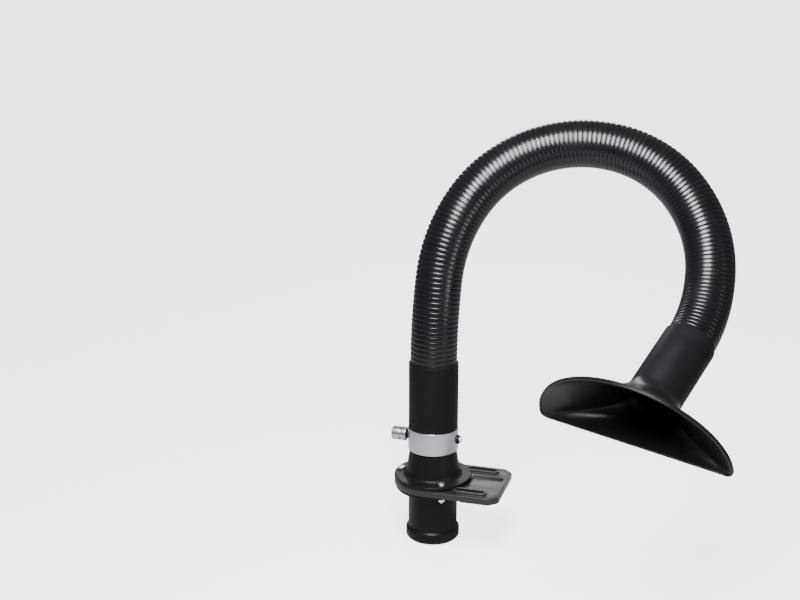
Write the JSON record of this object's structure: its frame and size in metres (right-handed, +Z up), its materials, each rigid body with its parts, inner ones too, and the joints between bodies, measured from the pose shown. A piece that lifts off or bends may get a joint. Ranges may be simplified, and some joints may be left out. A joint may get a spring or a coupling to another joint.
{
  "type": "fume extraction arm",
  "caption": "Table-clamp fume extraction arm: slotted bracket and flanged pipe base, aluminium shut-off ring, self-supporting ribbed hose and a D-shaped hood.",
  "frame": {"origin": "on the bracket plate's underside, midway between its two slots, where it rests on the table", "axes": "+X out over the table from its edge, +Y along the table edge, +Z up"},
  "size_m": [0.412, 0.3345, 0.5095],
  "materials": {
    "bracket": "satin",
    "flange_plastic": "matte",
    "hose_plastic": "semi-gloss",
    "cuff_rubber": "matte",
    "hood_plastic": "satin",
    "aluminium": "satin",
    "screw_steel": "zinc plated"
  },
  "bodies": {
    "base": {"bracket_plate": "bracket", "upper_flange": "flange_plastic", "hose_spigot": "flange_plastic", "flange_screw_1": "screw_steel", "flange_screw_2": "screw_steel", "flange_screw_3": "screw_steel", "flange_nut_1": "screw_steel", "flange_nut_2": "screw_steel", "flange_nut_3": "screw_steel", "shut_off_ring": "aluminium", "base_seal_ring": "cuff_rubber", "shaft_bush_left": "flange_plastic", "shaft_bush_right": "flange_plastic"},
    "flap": {"flap_shaft": "screw_steel", "flap_disc": "screw_steel", "flap_screw_1": "screw_steel", "flap_screw_2": "screw_steel", "flap_knob": "aluminium", "knob_grub_screw": "screw_steel", "shaft_retainer": "screw_steel"},
    "arm_0": {"base_cuff": "cuff_rubber", "hose_section_0": "hose_plastic", "hose_flex_1": "hose_plastic"},
    "arm_1": {"hose_section_1": "hose_plastic", "hose_flex_2": "hose_plastic"},
    "arm_2": {"hose_section_2": "hose_plastic", "hose_flex_3": "hose_plastic"},
    "arm_3": {"hose_section_3": "hose_plastic", "hose_flex_4": "hose_plastic"},
    "arm_4": {"hose_section_4": "hose_plastic", "hose_flex_5": "hose_plastic"},
    "arm_5": {"hose_section_5": "hose_plastic", "hose_flex_6": "hose_plastic"},
    "arm_6": {"hose_section_6": "hose_plastic", "hose_flex_7": "hose_plastic"},
    "arm_7": {"hose_section_7": "hose_plastic", "end_cuff": "cuff_rubber"},
    "hood": {"hood": "hood_plastic", "hood_seal_ring": "cuff_rubber"}
  },
  "joints": [
    {"name": "flap_turn", "type": "hinge", "parent": "base", "child": "flap", "pos_m": [-0.0545, 0, 0.0602], "axis": [1, 0, 0], "range_deg": [0, 90]},
    {"name": "arm_swivel", "type": "hinge", "parent": "base", "child": "arm_0", "pos_m": [-0.0545, 0, 0.0852], "axis": [0, 0, 1], "continuous": true},
    {"name": "bend_1", "type": "hinge", "parent": "arm_0", "child": "arm_1", "pos_m": [-0.05403, 0.00326, 0.2063], "axis": [0.181, 0.9747, -0.1314], "range_deg": [-25, 15], "deforming": ["hose_flex_1"]},
    {"name": "sway_2", "type": "hinge", "parent": "arm_1", "child": "arm_2", "pos_m": [-0.04506, 0.02824, 0.30206], "axis": [-0.952, 0.2444, 0.1843], "range_deg": [-25, 25], "deforming": ["hose_flex_2"]},
    {"name": "bend_3", "type": "hinge", "parent": "arm_2", "child": "arm_3", "pos_m": [0.00334, 0.06803, 0.37817], "axis": [0.0386, 0.8049, -0.5921], "range_deg": [-30, 15], "deforming": ["hose_flex_3"]},
    {"name": "sway_4", "type": "hinge", "parent": "arm_3", "child": "arm_4", "pos_m": [0.09058, 0.09914, 0.41096], "axis": [-0.1678, 0.633, 0.7558], "range_deg": [-25, 25], "deforming": ["hose_flex_4"]},
    {"name": "bend_5", "type": "hinge", "parent": "arm_4", "child": "arm_5", "pos_m": [0.1861, 0.10087, 0.38927], "axis": [-0.2073, 0.7478, -0.6307], "range_deg": [-35, 12], "deforming": ["hose_flex_5"]},
    {"name": "sway_6", "type": "hinge", "parent": "arm_5", "child": "arm_6", "pos_m": [0.24815, 0.06531, 0.32231], "axis": [0.9032, 0.402, 0.1501], "range_deg": [-25, 25], "deforming": ["hose_flex_6"]},
    {"name": "bend_7", "type": "hinge", "parent": "arm_6", "child": "arm_7", "pos_m": [0.2571, 0.001, 0.24819], "axis": [-0.2312, 0.6536, -0.7206], "range_deg": [-30, 15], "deforming": ["hose_flex_7"]},
    {"name": "hood_swivel", "type": "hinge", "parent": "arm_7", "child": "hood", "pos_m": [0.21802, -0.10819, 0.18001], "axis": [-0.3242, -0.8194, -0.4728], "continuous": true}
  ]
}
